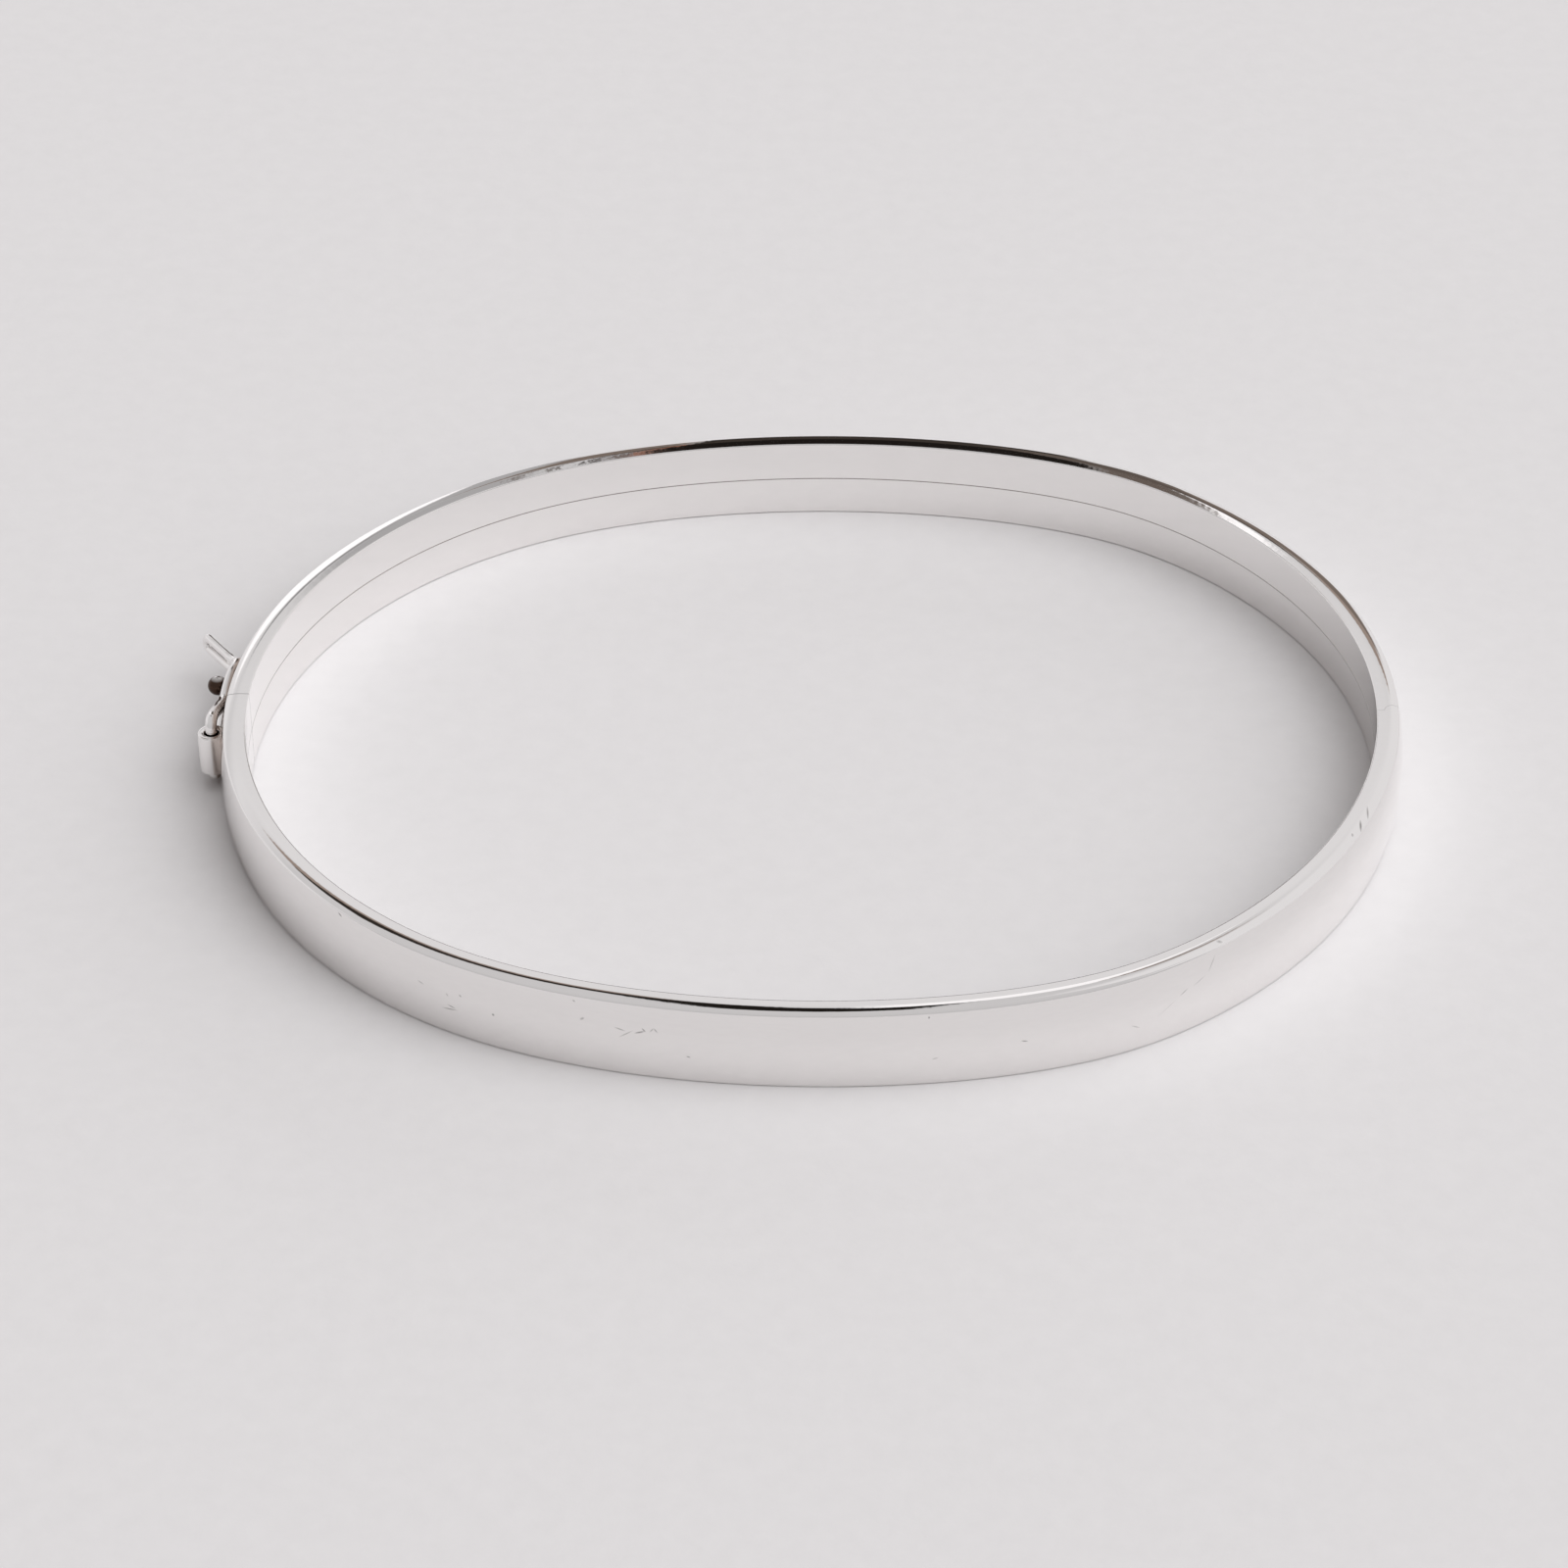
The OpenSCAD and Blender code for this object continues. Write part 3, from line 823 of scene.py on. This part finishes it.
def light_on_card(tree, way, azimuth, height):
    """The same room smoothed, for the card: a broad light from high on the right, a low window
    beyond it, and a little warm light from everywhere."""
    facing = add(tree, "ShaderNodeVectorMath", {0: way, 1: toward(*KEY_AT)}, operation="DOT_PRODUCT")
    lobe = add(tree, "ShaderNodeMath", {0: facing.outputs["Value"], 1: 0}, operation="MAXIMUM")
    lobe = add(tree, "ShaderNodeMath", {0: lobe.outputs[0], 1: KEY_FALL_OFF}, operation="POWER")
    broad = {"Factor": lobe.outputs[0], "A": WARM_LIGHT, "B": KEY_LIGHT}
    light = add(tree, "ShaderNodeMix", broad, data_type="RGBA")
    window = in_window(tree, azimuth, height, LOW_WINDOW_AT, LOW_WINDOW_SOFT)
    low = {"Factor": window, "A": light.outputs["Result"], "B": LOW_WINDOW}
    return add(tree, "ShaderNodeMix", low, data_type="RGBA").outputs["Result"]


def studio_world():
    """Soft surroundings: one even light for the card, and a room with detail for the silver."""
    world = bpy.data.worlds.new("studio")
    world.use_nodes = True
    tree = world.node_tree
    way = add(tree, "ShaderNodeTexCoord").outputs["Generated"]
    turned = add(tree, "ShaderNodeVectorRotate", {"Vector": way, "Angle": -HEADING}, rotation_type="Z_AXIS")
    parts = add(tree, "ShaderNodeSeparateXYZ", {"Vector": turned.outputs[0]})
    right, depth, up = (parts.outputs[axis] for axis in "XYZ")
    height = add(tree, "ShaderNodeMath", {0: up}, operation="ARCSINE").outputs[0]
    azimuth = add(tree, "ShaderNodeMath", {0: right, 1: depth}, operation="ARCTAN2").outputs[0]
    seen = mirrored_room(tree, depth, azimuth, height)
    light = light_on_card(tree, turned.outputs[0], azimuth, height)
    # only what the silver shows to the camera is the room as it is, not what it throws on the card
    path = add(tree, "ShaderNodeLightPath")
    direct = add(tree, "ShaderNodeMath", {0: path.outputs["Diffuse Depth"], 1: 0.5}, operation="LESS_THAN")
    both = {0: path.outputs["Is Glossy Ray"], 1: direct.outputs[0]}
    in_silver = add(tree, "ShaderNodeMath", both, operation="MULTIPLY")
    choice = {"Factor": in_silver.outputs[0], "A": light, "B": seen}
    shown = add(tree, "ShaderNodeMix", choice, data_type="RGBA")
    tree.links.new(shown.outputs["Result"], tree.nodes["Background"].inputs["Color"])
    bpy.context.scene.world = world


studio_world()

# Camera, fitted to the photograph: a long lens, and a frame turned by about a degree.
CAMERA_AT = (13.48, -247.99, 169.92)
LOOKED_AT = (-1.398, -1.198, 0)
CAMERA_TURN = -0.0189
CAMERA_LENS = 128.8
camera = bpy.data.objects.new("camera", bpy.data.cameras.new("camera"))
bpy.context.scene.collection.objects.link(camera)
camera.location = Vector(CAMERA_AT) * MM
look = Vector(LOOKED_AT) * MM - camera.location
camera.rotation_mode = "QUATERNION"
frame_turn = Matrix.Rotation(CAMERA_TURN, 3, "Z").to_quaternion()
camera.rotation_quaternion = look.to_track_quat("-Z", "Y") @ frame_turn
camera.data.lens = CAMERA_LENS
camera.data.sensor_width = 36
camera.data.clip_start = 0.01
camera.data.clip_end = 10
bpy.context.scene.camera = camera
bpy.context.scene.view_settings.view_transform = "Standard"
